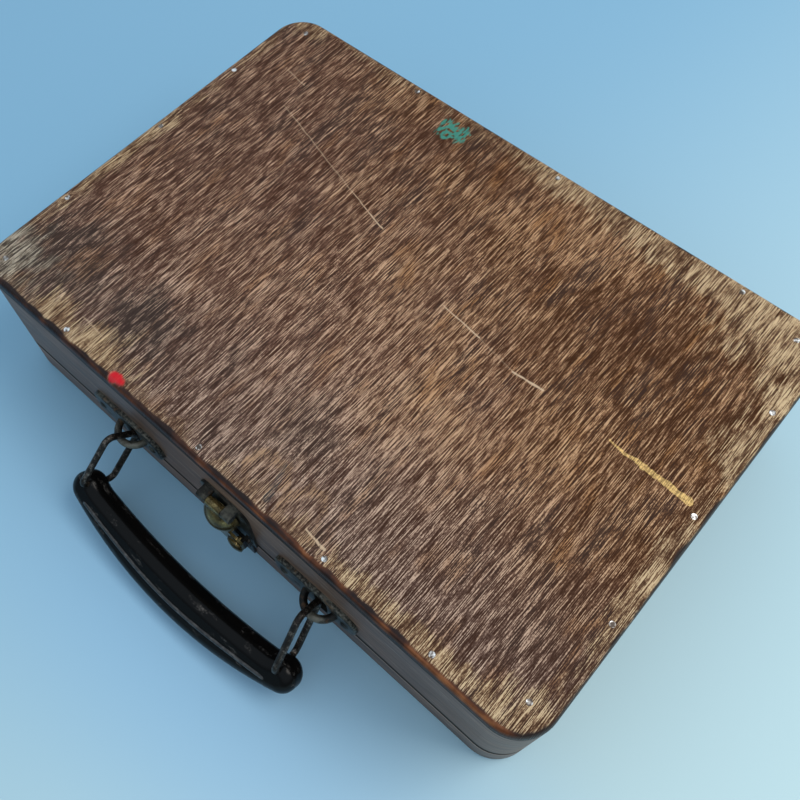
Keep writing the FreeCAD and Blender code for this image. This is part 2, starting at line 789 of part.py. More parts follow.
grip = body("handle_grip", y="front - handle_axis_offset", z="handle_axis_height", turn=droop)
crescent = sketch(grip, "XY_Plane", "-grip_thickness / 2")
bows = [
    (0, outer_y, "grip_outer_bow", -half_turn - to_boss, to_boss),
    (end_x, end_y, "grip_end_radius", to_boss, to_blend),
    (blend_x, blend_y, "grip_blend", to_inner, to_blend - half_turn),
    (0, inner_y, "grip_inner_bow", -half_turn - to_inner, to_inner),
    (-blend_x, blend_y, "grip_blend", -to_blend, -half_turn - to_inner),
    (-end_x, end_y, "grip_end_radius", half_turn - to_blend, -half_turn - to_boss),
]
for x, y, radius, start, stop in bows:
    bow = Part.Circle(Vector(x, y, 0), Vector(0, 0, 1), value(radius))
    crescent.addGeometry(Part.ArcOfCircle(bow, start, stop), False)
for one, one_end, other, other_end in ((0, 2, 1, 1), (1, 2, 2, 2), (2, 1, 3, 2),
                                       (3, 1, 4, 2), (4, 1, 5, 1), (5, 2, 0, 1)):
    crescent.addConstraint(Sketcher.Constraint("Tangent", one, one_end, other, other_end))
for i, (x, y, radius, start, stop) in enumerate(bows):
    rule = crescent.addConstraint(Sketcher.Constraint("Radius", i, value(radius)))
    crescent.setExpression(f"Constraints[{rule}]", full(radius))
pin_point(crescent, 0, 3, "0", "grip_outer_bow - grip_outer")
pin_point(crescent, 3, 3, "0", "grip_inner_bow - grip_inner")
for i, sign in ((1, 1), (5, -1)):
    reach = f"{sign} * (grip_end - grip_end_radius)"
    rule = crescent.addConstraint(Sketcher.Constraint("DistanceX", -1, 1, i, 3, value(reach)))
    crescent.setExpression(f"Constraints[{rule}]", full(reach))
pad(grip, crescent, "grip_thickness")
flat = value("grip_thickness / 2")
soften(grip, "Fillet", "grip_round",
       lambda edge: edge.BoundBox.ZLength < flat
       and abs(abs(edge.CenterOfMass.z) - flat) < value("wire_radius"))

# Each link runs through a bore in the grip's end that leans as the link does.
for sign, lean in leans.items():
    bore = grip.newObject("PartDesign::SubtractiveCylinder", "link_bore")
    seat = Placement(Vector(sign * value("handle_place"), 0, 0), lean)
    foot_point = Vector(0, -value("link_reach"), -value("grip_thickness"))
    bore.Placement = seat.multiply(Placement(foot_point, Rotation()))
    bore.setExpression("Radius", full("wire_radius + link_hole_gap"))
    bore.setExpression("Height", full("2 * grip_thickness"))

# The latch's back plate on the lid has two knuckles that hold the hasp's pin.
back_plate = body("latch_back_plate", x="latch_place", y="front")
back_face = sketch(back_plate, "XZ_Plane")
outline(back_face, [
    ("-latch_plate_width / 2", "plate_foot"),
    ("latch_plate_width / 2", "plate_foot"),
    ("latch_plate_width / 2", "latch_plate_top - latch_plate_corner"),
    ("latch_plate_width / 2 - latch_plate_corner", "latch_plate_top", "latch_plate_corner", -1),
    ("-latch_plate_width / 2 + latch_plate_corner", "latch_plate_top"),
    ("-latch_plate_width / 2", "latch_plate_top - latch_plate_corner", "latch_plate_corner", -1),
])
rivet_side = "(latch_plate_width / 2 - small_rivet_inset)"
rivet_spots = [(f"{side} * {rivet_side}", height) for side in (-1, 1)
               for height in ("plate_foot + small_rivet_inset",
                              "latch_plate_top - latch_plate_corner")]
for x, z in rivet_spots:
    circle(back_face, x, z, "small_rivet_shank + running_gap")
pad(back_plate, back_face, "latch_sheet")
for first in ("-hasp_neck / 2 - knuckle_gap - plate_knuckle_length", "hasp_neck / 2 + knuckle_gap"):
    web = sketch(back_plate, "YZ_Plane", first)
    rectangle(web, "-latch_axis", "0", "latch_axis_height",
              "latch_axis_height + latch_knuckle_radius")
    pad(back_plate, web, "plate_knuckle_length")
    roll = sketch(back_plate, "YZ_Plane", first)
    circle(roll, "-latch_axis", "latch_axis_height", "latch_knuckle_radius")
    pad(back_plate, roll, "plate_knuckle_length")
bore = sketch(back_plate, "YZ_Plane")
circle(bore, "-latch_axis", "latch_axis_height", "latch_pin_radius + running_gap")
pocket(back_plate, bore)

pin_half = "(hasp_neck / 2 + knuckle_gap + plate_knuckle_length)"
rod("latch_hasp_pin", "latch_pin_radius", f"2 * {pin_half}", f"latch_place - {pin_half}",
    "front - latch_axis", "latch_axis_height")

small_rivet = headed("small_rivet_radius", "small_rivet_shank", "small_rivet_rise",
                     "small_rivet_length")
fasteners("latch_back_plate_rivets", small_rivet,
          [(f"latch_place + {x}", z) for x, z in rivet_spots], "front - latch_sheet", -1)

# The keeper on the tray carries an eye on a stem, in front of the lid's back plate.
keeper = body("latch_keeper", x="latch_place", y="front")
keeper_face = sketch(keeper, "XZ_Plane")
rectangle(keeper_face, "-keeper_plate_width / 2", "keeper_plate_width / 2", "keeper_plate_foot",
          "base_depth - seam_gap", "leaf_corner")
keeper_side = "(keeper_plate_width / 2 - small_rivet_inset)"
keeper_height = "(keeper_plate_foot + base_depth - seam_gap) / 2"
for step in (-1, 1):
    circle(keeper_face, f"{step} * {keeper_side}", keeper_height, "small_rivet_shank + running_gap")
pad(keeper, keeper_face, "latch_sheet")
eye = sketch(keeper, "YZ_Plane", "-keeper_width / 2")
outline(eye, [
    ("0", "base_depth - keeper_bond"),
    ("0", "base_depth - seam_gap"),
    ("-stem_rear", "base_depth - seam_gap"),
    ("-stem_rear", "eye_high"),
    ("-stem_front", "eye_high"),
    ("-stem_front", "eye_low"),
    ("-stem_rear - keeper_stem", "eye_low"),
    ("-stem_rear - keeper_stem", "base_depth - keeper_bond"),
])
rectangle(eye, "-bolt_front - keeper_gap", "-bolt_rear + keeper_gap",
          "bolt_height - bolt_width / 2 - keeper_gap", "bolt_height + bolt_width / 2 + keeper_gap")
pad(keeper, eye, "keeper_width")

fasteners("latch_keeper_rivets", small_rivet,
          [(f"latch_place + {step} * {keeper_side}", keeper_height) for step in (-1, 1)],
          "front - latch_sheet", -1)

# The hasp: a barrel on the pin, a narrow neck under a hollow dome, and a wide tongue with a
# slot for the thumb button
hasp = body("latch_hasp", x="latch_place", y="front")
hasp_face = sketch(hasp, "XZ_Plane", "hasp_rear")
outline(hasp_face, [
    ("-hasp_heel + hasp_corner", "hasp_foot", "hasp_corner", -1),
    ("hasp_toe - hasp_corner", "hasp_foot"),
    ("hasp_toe", "hasp_foot + hasp_corner", "hasp_corner", -1),
    ("hasp_toe", "hasp_shoulder - hasp_corner"),
    ("hasp_toe - hasp_corner", "hasp_shoulder", "hasp_corner", -1),
    ("hasp_neck / 2", "hasp_shoulder"),
    ("hasp_neck / 2", "latch_axis_height"),
    ("-hasp_neck / 2", "latch_axis_height"),
    ("-hasp_neck / 2", "hasp_shoulder"),
    ("-hasp_heel", "hasp_shoulder"),
    ("-hasp_heel", "hasp_foot + hasp_corner"),
])
slot_low = "button_place - bolt_travel - button_shank - guide_gap"
slot_high = "button_place + button_shank + guide_gap"
slot_half = "button_shank + guide_gap"
rectangle(hasp_face, slot_low, slot_high, f"bolt_height - ({slot_half})",
          f"bolt_height + ({slot_half})")
pad(hasp, hasp_face, "latch_sheet")
barrel = sketch(hasp, "YZ_Plane", "-hasp_neck / 2")
circle(barrel, "-latch_axis", "latch_axis_height", "latch_knuckle_radius")
pad(hasp, barrel, "hasp_neck")
bell = sketch(hasp, "YZ_Plane", y="dome_height")
outline(bell, [
    ("-dome_rear", "dome_radius - dome_wall"),
    ("-dome_rear", "dome_radius"),
    ("-dome_skirt", "dome_radius"),
    ("-dome_front", "0", crown("dome_radius", "dome_front - dome_skirt"), -1),
    ("-dome_front + dome_wall", "0"),
    ("-dome_skirt", "dome_radius - dome_wall",
     crown("(dome_radius - dome_wall)", "dome_front - dome_wall - dome_skirt"), 1),
])
turned(hasp, bell)
bore = sketch(hasp, "YZ_Plane")
circle(bore, "-latch_axis", "latch_axis_height", "latch_pin_radius + running_gap")
pocket(hasp, bore)

# A square strap behind the tongue guides the bolt's free end.
guide = body("latch_bolt_guide", x="latch_place + guide_place", y="front", z="bolt_height")
loop = sketch(guide, "YZ_Plane")
rectangle(loop, "-hasp_rear", "-bolt_rear + guide_gap + guide_wall / 2",
          "-bolt_width / 2 - guide_gap - guide_wall", "bolt_width / 2 + guide_gap + guide_wall")
rectangle(loop, "-bolt_front - guide_gap", "-bolt_rear + guide_gap",
          "-bolt_width / 2 - guide_gap", "bolt_width / 2 + guide_gap")
pad(guide, loop, "guide_thickness")

# The bolt slides behind the tongue. It rests drawn back, clear of the keeper's eye.
bolt = body("latch_bolt", x="latch_place + bolt_place", y="front", z="bolt_height")
bar = sketch(bolt, "YZ_Plane")
rectangle(bar, "-bolt_front", "-bolt_rear", "-bolt_width / 2", "bolt_width / 2")
pad(bolt, bar, "bolt_length")

button = body("latch_thumb_button", x="latch_place + button_place", y="front", z="bolt_height")
knob = sketch(button, "YZ_Plane")
button_rise = "button_thickness - button_rim"
outline(knob, [
    ("-bolt_front", "0"),
    ("-bolt_front", "button_shank"),
    ("-button_rear", "button_shank"),
    ("-button_rear", "button_radius"),
    ("-button_rear - button_rim", "button_radius"),
    ("-button_front", "0", crown("button_radius", button_rise), -1),
])
turned(button, knob)

doc.recompute()
faults = []
nodes = []
for item in doc.Objects:
    state = " ".join(item.State)
    if "Invalid" in state or "Error" in state:
        faults.append(f"{item.Label} {item.TypeId} {state}")
    whole = item.TypeId in ("PartDesign::Body", "Part::Feature", "Part::Cylinder")
    if whole:
        nodes.append(item)
for item in nodes:
    if item.Shape.isNull() or not item.Shape.isValid():
        faults.append(f"{item.Label} has no valid shape")
if faults:
    raise RuntimeError("; ".join(faults))
os.makedirs("parts", exist_ok=True)
for item in nodes:
    item.Shape.exportStep(f"parts/{item.Label}.step")
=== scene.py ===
import math
import bmesh
import bpy
from mathutils import Matrix, Vector


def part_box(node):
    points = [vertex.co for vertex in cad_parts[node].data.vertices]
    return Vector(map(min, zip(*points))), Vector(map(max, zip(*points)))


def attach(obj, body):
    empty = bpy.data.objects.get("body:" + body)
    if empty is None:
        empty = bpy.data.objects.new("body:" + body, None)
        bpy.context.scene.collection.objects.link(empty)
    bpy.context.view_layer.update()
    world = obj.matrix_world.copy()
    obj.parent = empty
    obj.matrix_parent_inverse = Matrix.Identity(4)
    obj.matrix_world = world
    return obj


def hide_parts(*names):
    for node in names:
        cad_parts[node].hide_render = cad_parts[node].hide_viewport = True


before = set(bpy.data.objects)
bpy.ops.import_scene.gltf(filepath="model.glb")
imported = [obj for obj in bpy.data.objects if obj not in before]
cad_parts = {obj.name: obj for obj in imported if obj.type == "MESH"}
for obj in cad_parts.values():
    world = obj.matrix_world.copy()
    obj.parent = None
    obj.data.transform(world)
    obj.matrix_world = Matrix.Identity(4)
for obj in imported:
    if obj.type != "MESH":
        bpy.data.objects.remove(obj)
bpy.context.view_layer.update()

# The walls of both halves: thin plywood bent round the corners, grain lying along the case,
# stained nearly black and varnished. The varnish is still glossy, but dull along the seam and
# scuffed where the case has been set down. A near-black band above the seam is painted shade.


class Socket:
    """One output among a material's nodes. Sums on it add Math nodes, node() adds any other."""

    def __init__(self, tree, output):
        self.tree = tree
        self.output = output

    def node(self, kind, settings=None, values=None, output=0):
        made = self.tree.nodes.new("ShaderNode" + kind)
        for name, setting in (settings or {}).items():
            if name != "stops":
                setattr(made, name, setting)
                continue
            elements = made.color_ramp.elements
            elements.remove(elements[1])
            elements[0].position, elements[0].color = setting[0]
            for place, colour in setting[1:]:
                elements.new(place).color = colour
        for name, value in (values or {}).items():
            if isinstance(value, Socket):
                self.tree.links.new(value.output, made.inputs[name])
            else:
                made.inputs[name].default_value = value
        return Socket(self.tree, made.outputs[output])

    def math(self, operation, *values):
        return self.node("Math", {"operation": operation}, dict(enumerate(values)))

    def vector(self, operation, *values, output=0):
        return self.node("VectorMath", {"operation": operation}, dict(enumerate(values)), output)

    def __add__(self, other):
        return self.math("ADD", self, other)

    def __sub__(self, other):
        return self.math("SUBTRACT", self, other)

    def __rsub__(self, other):
        return self.math("SUBTRACT", other, self)

    def __mul__(self, other):
        return self.math("MULTIPLY", self, other)

    __radd__ = __add__
    __rmul__ = __mul__

    def between(self, low, high):
        """0 up to low, 1 from high on, and smooth between them."""
        return self.node("MapRange", {"interpolation_type": "SMOOTHSTEP"},
                         {"Value": self, "From Min": low, "From Max": high})

    def most(self, other):
        return self.math("MAXIMUM", self, other)

    def mix(self, first, second):
        """The first colour where this is 0, the second where it is 1."""
        return self.node("Mix", {"data_type": "RGBA"}, {0: self, 6: first, 7: second}, 2)

    def ramp(self, *stops):
        return self.node("ValToRGB", {"stops": stops}, {0: self})

    def parts(self):
        split = self.node("SeparateXYZ", values={0: self})
        return [Socket(self.tree, output) for output in split.output.node.outputs]

    def noise(self, size, detail=2.0, seed=0.0, output=0):
        """Noise whose spots are about as long as size says, in metres, along each axis."""
        shrunk = self.vector("MULTIPLY_ADD", self, [1 / s for s in size], (seed, seed, seed))
        return shrunk.node("TexNoise", None, {"Vector": shrunk, "Detail": detail, "Scale": 1.0},
                           output)

    def bumps(self, strength, depth):
        return self.node("Bump", None, {"Strength": strength, "Distance": depth, "Height": self})


def finish(name, **fixed):
    """A new material, and the place on the surface to work its pattern out from. Fixed numbers
    are set on the shader's own sockets."""
    made = bpy.data.materials.new(name)
    made.use_nodes = True
    shader = made.node_tree.nodes["Principled BSDF"]
    for socket, number in fixed.items():
        shader.inputs[socket.replace("_", " ")].default_value = number
    where = made.node_tree.nodes.new("ShaderNodeTexCoord")
    return made, Socket(made.node_tree, where.outputs["Object"])


def coat_with(made, **patterns):
    shader = made.node_tree.nodes["Principled BSDF"]
    for socket, pattern in patterns.items():
        made.node_tree.links.new(pattern.output, shader.inputs[socket.replace("_", " ")])


def dress(made, *nodes):
    for node in nodes:
        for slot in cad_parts[node].material_slots:
            slot.material = made


seam_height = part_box("base_wall_ring")[1][2]
ring_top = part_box("lid_wall_ring")[1][2]
varnished, at = finish("varnished_wall", Coat_Roughness=0.25, Specular_IOR_Level=0.2)
z = at.parts()[2]
grain = at.noise((0.04, 0.04, 0.0008), 4)
veins = at.noise((0.02, 0.02, 0.0026), 3, 3.1)
cloud = at.noise((0.05, 0.05, 0.03), 3, 7.7)
tone = (grain - 0.5) * 0.9 + (veins - 0.5) * 0.6 + (cloud - 0.5) * 0.8 + 0.5
stain = tone.ramp((0.25, (0.07, 0.034, 0.02, 1)), (0.5, (0.138, 0.07, 0.041, 1)),
                  (0.66, (0.19, 0.104, 0.064, 1)), (0.85, (0.3, 0.18, 0.115, 1)))
scuffed = at.noise((0.014, 0.014, 0.0025), 4, 11.0).between(0.56, 0.7)
dusty = at.noise((0.06, 0.06, 0.02), 3, 14.0).between(0.4, 0.65)
from_seam = z - seam_height
# Painted shade: a near-black band just above the seam between the halves. The same mask also darkens
# the top of the wall, where it meets the panel.
seam_shade_and_joint = from_seam.between(-0.0007, -0.0003) * (1 - from_seam.between(0.003, 0.0048))
seam_shade_and_joint = seam_shade_and_joint.most(z.between(ring_top - 0.0022, ring_top - 0.0012) * 0.85)
below_seam = from_seam.between(-0.0022, -0.0016) * (1 - from_seam.between(-0.0008, -0.0005))
stain = (dusty * 0.3).mix(stain, (0.15, 0.105, 0.08, 1))
stain = (scuffed * 0.4).mix(stain, (0.3, 0.22, 0.17, 1))
stain = (below_seam * 0.7).mix(stain, (0.42, 0.3, 0.22, 1))
stain = seam_shade_and_joint.mix(stain, (0.003, 0.0025, 0.002, 1))
coat_with(varnished, Base_Color=stain, Roughness=0.4 + cloud * 0.2 + seam_shade_and_joint * 0.4,
          Coat_Weight=0.14 - scuffed * 0.08 - seam_shade_and_joint * 0.06,
          Normal=(grain * 0.6 + veins * 0.4).bumps(0.25, 0.0002))
dress(varnished, "base_wall_ring", "lid_wall_ring")

# The two panels of plywood nailed over the walls, their grain running across the case. The
# upper one has been carried and stacked for decades: its varnish is gone, the stain is worn
# to bare tan wood along the edges and corners, and it is scratched and spotted with paint.


def away_from_edge(x, y, half_x, half_y, corner):
    """How far inside a rounded oblong a place is, in metres. Its centre is at x = y = 0."""
    over_x = x.math("ABSOLUTE", x) - (half_x - corner)
    over_y = y.math("ABSOLUTE", y) - (half_y - corner)
    past_x = over_x.most(0.0)
    past_y = over_y.most(0.0)
    round_part = x.math("SQRT", past_x * past_x + past_y * past_y)
    flat_part = x.math("MINIMUM", over_x.most(over_y), 0.0)
    return corner - round_part - flat_part


def patch(flat, ragged, centre, radii, soft=0.35):
    """1 within an oval on the panel, with ragged rims."""
    gap = flat.vector("MULTIPLY_ADD", flat, (1 / radii[0], 1 / radii[1], 0.0),
                      (-centre[0] / radii[0], -centre[1] / radii[1], 0.0))
    length = gap.vector("LENGTH", gap, output="Value")
    return 1 - (length + ragged).between(1 - soft, 1 + soft)


def scratch(flat, start, end, width, spread=1.0):
    """1 along a straight scratch, which may widen towards its end."""
    run = (Vector(end) - Vector(start)).to_3d()
    offset = flat.vector("SUBTRACT", flat, (start[0], start[1], 0.0))
    share = offset.vector("DOT_PRODUCT", offset, run / run.length_squared, output="Value")
    share = share.node("Clamp", None, {"Value": share})
    nearest = offset.node("VectorMath", {"operation": "SCALE"}, {0: tuple(run), 3: share})
    gap = offset.vector("LENGTH", offset.vector("SUBTRACT", offset, nearest), output="Value")
    reach = width * (1 + share * (spread - 1))
    return 1 - (gap - reach).between(-0.00025, 0.0002)


low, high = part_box("lid_top_panel")
top = high[2]
worn, at = finish("worn_plywood", Coat_Roughness=0.2, Specular_IOR_Level=0.06)
x, y, z = at.parts()
flat = at.vector("MULTIPLY", at, (1.0, 1.0, 0.0))
cloud = at.noise((0.028, 0.04, 0.04), 3, 2.2)

# Worn fibres stand pale in the dark stain as long streaks, short dashes and pores
wavy = flat.vector("MULTIPLY_ADD", at.noise((0.02, 0.05, 0.02), 1, 1.1, output=1),
                   (0.0013, 0.0, 0.0), flat)
streak = wavy.noise((0.00034, 0.02, 0.01), 1)
dash = flat.noise((0.00033, 0.006, 0.01), 0, 5.3)
grain = wavy.noise((0.0009, 0.02, 0.01), 2, 5.9)
long_grain = wavy.noise((0.0013, 0.09, 0.01), 3, 8.1)
figure = wavy.noise((0.006, 0.05, 0.02), 3, 9.1)
pore = flat.noise((0.00034, 0.0009, 0.01), 0, 6.3)
fine = ((streak - 0.5) * 2.1 + (dash - 0.5) * 1.6) * (0.66 + cloud * 0.6) \
    + (pore - 0.5) * 0.75

# The stain is rubbed paler in two places and is deeper in three. It is tawny at the back
# right and reddish at the left; the greyer palette along the front is painted sheen.
rightward = (x * 0.7 + y * 0.75 + (cloud - 0.5) * 0.16).between(-0.06, 0.1) \
    * (0.4 + y.between(-0.13, -0.02) * 0.6)
paler = patch(flat, 0.0, (0.045, -0.035), (0.085, 0.065), 0.9).most(
    patch(flat, 0.0, (0.03, 0.08), (0.04, 0.025), 0.9) * 0.8)
darker = patch(flat, 0.0, (0.082, 0.034), (0.04, 0.03), 0.9).most(
    patch(flat, 0.0, (-0.02, 0.09), (0.035, 0.022), 0.9)).most(
    patch(flat, 0.0, (0.125, -0.055), (0.04, 0.04), 0.9) * 0.5)
tone = fine + (grain - 0.5) * 0.24 + (long_grain - 0.5) * (0.45 - rightward * 0.3) \
    + (figure - 0.5) * 0.22 + (cloud - 0.5) * 0.3 + paler * 0.17 - darker * 0.12 + 0.46
reddish = tone.ramp((0.12, (0.048, 0.018, 0.009, 1)), (0.3, (0.067, 0.03, 0.018, 1)),
                    (0.5, (0.102, 0.049, 0.031, 1)), (0.64, (0.16, 0.083, 0.053, 1)),
                    (0.8, (0.28, 0.165, 0.11, 1)), (0.93, (0.52, 0.335, 0.22, 1)))
tawny = tone.ramp((0.12, (0.046, 0.016, 0.005, 1)), (0.3, (0.062, 0.025, 0.01, 1)),
                  (0.5, (0.1, 0.043, 0.019, 1)), (0.64, (0.16, 0.077, 0.037, 1)),
                  (0.8, (0.285, 0.152, 0.078, 1)), (0.93, (0.53, 0.32, 0.175, 1)))
# Painted sheen: a greyer copy of the stain's palette, standing in for a reflection along the front
painted_sheen_palette = tone.ramp((0.12, (0.046, 0.02, 0.012, 1)), (0.3, (0.064, 0.036, 0.026, 1)),
                  (0.5, (0.097, 0.057, 0.043, 1)), (0.64, (0.156, 0.096, 0.074, 1)),
                  (0.8, (0.275, 0.19, 0.145, 1)), (0.93, (0.52, 0.375, 0.285, 1)))
# How far the painted sheen reaches in from the front edge
front_sheen_mask = 1 - y.between(-0.1, -0.02)
wood = (front_sheen_mask * 0.8).mix(rightward.mix(reddish, tawny), painted_sheen_palette)

# Charcoal streaks where the stain has soaked in or dirt has settled
ragged = flat.noise((0.005, 0.011, 0.01), 4, 1.7) - 0.5
blotch = flat.noise((0.012, 0.03, 0.02), 5, 4.4)
sooty = (blotch - fine * 0.25).between(0.57, 0.7) * 0.5
charcoal = (((-0.12, -0.078), (0.024, 0.022), 0.8),
            ((-0.07, -0.076), (0.018, 0.014), 0.9),
            ((0.016, -0.066), (0.014, 0.012), 0.5),
            ((-0.128, 0.02), (0.02, 0.04), 0.15))
for centre, radii, depth in charcoal:
    sooty = sooty.most(patch(flat, ragged * 2.4 + fine * 0.8, centre, radii, 0.5) * depth)
sooty = sooty * (1 - fine.between(0.1, 0.45) * 0.6)
wood = sooty.mix(wood, (0.04, 0.027, 0.022, 1))

# Orange and tan wear, strongest at the edges, in the corners and in a few rubbed spots
panel_corner = 0.016
edge = away_from_edge(x, y, high[0], high[1], panel_corner)
wear = flat.noise((0.01, 0.016, 0.01), 5, 6.6)
orange = flat.noise((0.009, 0.03, 0.02), 4, 8.8).between(0.54, 0.7) * fine.between(-0.15, 0.3)
wood = (orange * (0.3 + rightward * 0.3)).mix(wood, (0.33, 0.145, 0.045, 1))
rubbed = (1 - (edge + (wear - 0.5) * 0.045 - fine * 0.004).between(0.0005, 0.007)) * 0.6
spots = (((0.14, 0.092), (0.03, 0.02)), ((0.146, 0.064), (0.009, 0.012)),
         ((0.144, -0.094), (0.01, 0.008)), ((-0.074, -0.0975), (0.016, 0.0085)),
         ((-0.1005, -0.0955), (0.011, 0.007)), ((0.09, 0.097), (0.055, 0.008)),
         ((0.03, 0.098), (0.03, 0.006)), ((0.145, 0.037), (0.008, 0.012)),
         ((0.146, -0.03), (0.004, 0.03)), ((-0.146, -0.015), (0.004, 0.03)),
         ((-0.138, 0.098), (0.01, 0.005)), ((0.1, -0.0985), (0.045, 0.004)))
for centre, radii in spots:
    rubbed = rubbed.most(patch(flat, ragged * 3.0 - fine * 0.7, centre, radii, 0.5))
paler_corner = 0.14 * x.between(0.09, 0.13) * y.between(0.04, 0.08)
bare = (fine + (grain - 0.5) * 0.5 + (wear - 0.5) * 1.3 + paler_corner + 0.45).ramp(
    (0.1, (0.06, 0.027, 0.013, 1)), (0.4, (0.165, 0.092, 0.05, 1)),
    (0.6, (0.32, 0.2, 0.11, 1)), (0.9, (0.62, 0.46, 0.27, 1)))
wood = (rubbed * 0.9).mix(wood, bare)
grey = patch(flat, ragged * 3.0, (-0.143, -0.09), (0.019, 0.014), 0.5)
wood = (grey * 0.8).mix(wood, (fine * 1.2 + (wear - 0.5) * 1.4 + 0.48).ramp(
    (0.15, (0.045, 0.036, 0.03, 1)), (0.5, (0.165, 0.128, 0.09, 1)),
    (0.85, (0.48, 0.42, 0.32, 1))))

# Two rubbed lobes by the latch, with a dark tongue of stain left between them
for centre, radii in (((0.0165, -0.089), (0.009, 0.009)), ((0.0375, -0.092), (0.0095, 0.0115))):
    lobe = patch(flat, ragged * 1.1, centre, radii, 0.14)
    core = patch(flat, ragged, (centre[0] + 0.001, centre[1] - 0.002),
                 (radii[0] * 0.78, radii[1] * 0.8), 0.35)
    wood = (lobe * (1 - core * 0.85) * (0.3 + fine * 1.8)).mix(wood, (0.42, 0.26, 0.15, 1))
tongue = scratch(flat.vector("ADD", flat, ragged * 0.004), (0.0195, -0.0815), (0.0245, -0.0955),
                 0.0006, 3.0)
wood = (tongue * (0.75 - fine * 0.9)).mix(wood, (0.045, 0.038, 0.036, 1))

# Scratches through the stain
shaky = at.noise((0.004, 0.004, 0.01), 2, 3.9, output=1)
bent = flat.vector("MULTIPLY_ADD", shaky, (0.0012, 0.0012, 0.0), flat)
broken = flat.noise((0.0012, 0.0012, 0.01), 3, 7.1)
scratches = (((-0.1093, 0.0515), (-0.0575, 0.0358), 0.0002, 1.0, 0.55),
             ((-0.0575, 0.0358), (-0.0256, 0.0268), 0.0001, 3.0, 0.95),
             ((-0.124, 0.0695), (-0.111, 0.0672), 0.0003, 1.0, 0.5),
             ((0.0197, 0.0134), (0.041, 0.0109), 0.0002, 1.8, 0.9),
             ((0.041, 0.0109), (0.0605, 0.0072), 0.0001, 1.0, 0.5),
             ((0.0605, 0.0072), (0.0742, 0.0084), 0.0004, 1.3, 0.9),
             ((-0.09, -0.0895), (-0.076, -0.0905), 0.0003, 1.0, 0.5),
             ((0.044, -0.0946), (0.054, -0.0957), 0.0003, 2.0, 0.85))
for start, end, width, spread, depth in scratches:
    cut = scratch(bent, start, end, width, spread) * (1 - broken.between(0.56, 0.66) * 0.7)
    wood = (cut * depth).mix(wood, (0.6, 0.44, 0.29, 1))
gouge = scratch(flat.vector("MULTIPLY_ADD", shaky, (0.003, 0.003, 0.0), flat), (0.1064, 0.0085),
                (0.142, 0.0075), 0.0005, 3.6)
gouge = gouge * (1 - broken.between(0.5, 0.6) * 0.5)
gouge = gouge * (0.45 + (fine + grain).between(0.3, 0.75) * 0.55)
wood = gouge.mix(wood, (0.82, 0.54, 0.2, 1))

# Dried paint: a red dab on the front edge and a smear of green
red = patch(flat, ragged * 1.4, (-0.0582, -0.1004), (0.004, 0.0029), 0.25)
wood = (red * 0.95).mix(wood, (0.6, 0.015, 0.025, 1))
smear = patch(flat, ragged * 3.0, (-0.0368, 0.0898), (0.008, 0.0055), 0.15)
smear = smear * flat.noise((0.0016, 0.003, 0.01), 3, 2.9).between(0.4, 0.52)
wood = (smear * 0.9).mix(wood, (0.05, 0.25, 0.19, 1))

# The rounded rim keeps its varnish: mahogany along the front, nearly black elsewhere
front_rim = 1 - y.between(low[1] + 0.002, low[1] + 0.005)
rim = 1 - (edge + (wear - 0.5) * 0.005).between(0.0008 + front_rim * 0.0014,
                                                0.002 + front_rim * 0.0018)
lengthwise = at.noise((0.03, 0.03, 0.0012), 3, 12.0)
mahogany = ((lengthwise - 0.5) * 1.6 + (wear - 0.5) * 1.6 + (x * 1.2) + 0.42).ramp(
    (0.2, (0.015, 0.006, 0.004, 1)), (0.45, (0.05, 0.017, 0.008, 1)),
    (0.7, (0.12, 0.036, 0.011, 1)), (0.95, (0.26, 0.095, 0.034, 1)))
shade = front_rim.mix((0.022, 0.013, 0.01, 1), mahogany)
low_rim = 1 - z.between(top - 0.0032, top - 0.002)
shade = (low_rim * 0.9).mix(shade, (0.014, 0.009, 0.008, 1))
wood = (rim * (1 - red * 0.9)).mix(wood, shade)
coat_with(worn, Base_Color=wood, Roughness=0.57 - rim * 0.25 - sooty * 0.05 + dash * 0.1,
          Coat_Weight=rim * (1 - low_rim) * 0.4,
          Normal=(fine - (gouge + rubbed * 0.3) * 0.5).bumps(0.45, 0.00025))
dress(worn, "lid_top_panel", "base_bottom_panel")

# The nails are plain wire nails, driven by hand a little unevenly. Their heads are rubbed
# bright, with a trace of rust.
nail_metal, at = finish("nail_steel")
speck = at.noise((0.0017, 0.0017, 0.0017), 2)
tint = speck.ramp((0.4, (0.07, 0.05, 0.038, 1)), (0.5, (0.3, 0.28, 0.26, 1)),
                  (0.58, (0.85, 0.86, 0.85, 1)))
coat_with(nail_metal, Base_Color=tint, Metallic=0.9 - (1 - speck.between(0.35, 0.48)) * 0.5,
          Roughness=0.55 - speck * 0.3, Normal=speck.bumps(0.5, 0.0001))
dress(nail_metal, "base_panel_nails", "lid_panel_nails")

# Inside, the fittings are plain beech, oiled and left pale: the lip that lines the halves up,
# the cradles, the bored block and the clamp.
inner, at = finish("oiled_beech", Specular_IOR_Level=0.4)
growth = at.noise((0.06, 0.004, 0.004), 3, 2.0)
pore = at.noise((0.006, 0.0006, 0.0006), 2, 4.0)
tone = (growth - 0.5) * 1.1 + (pore - 0.5) * 0.7 + 0.5
timber = tone.ramp((0.25, (0.17, 0.095, 0.05, 1)), (0.5, (0.34, 0.21, 0.115, 1)),
                   (0.75, (0.5, 0.34, 0.2, 1)))
dirt = at.noise((0.03, 0.03, 0.02), 4, 8.0).between(0.5, 0.72)
timber = (dirt * 0.5).mix(timber, (0.12, 0.078, 0.05, 1))
coat_with(inner, Base_Color=timber, Roughness=0.45 + dirt * 0.2 + pore * 0.1,
          Normal=tone.bumps(0.2, 0.0002))
dress(inner, "base_lip_ring", "tube_cradle", "foot_cradle", "accessory_block", "lid_clamp_block")

# The floor of the tray and the lid's ceiling are lined with sheets of green baize, glued down
# with a few slack ripples. Strips of it line the two saddles that hold the tube.


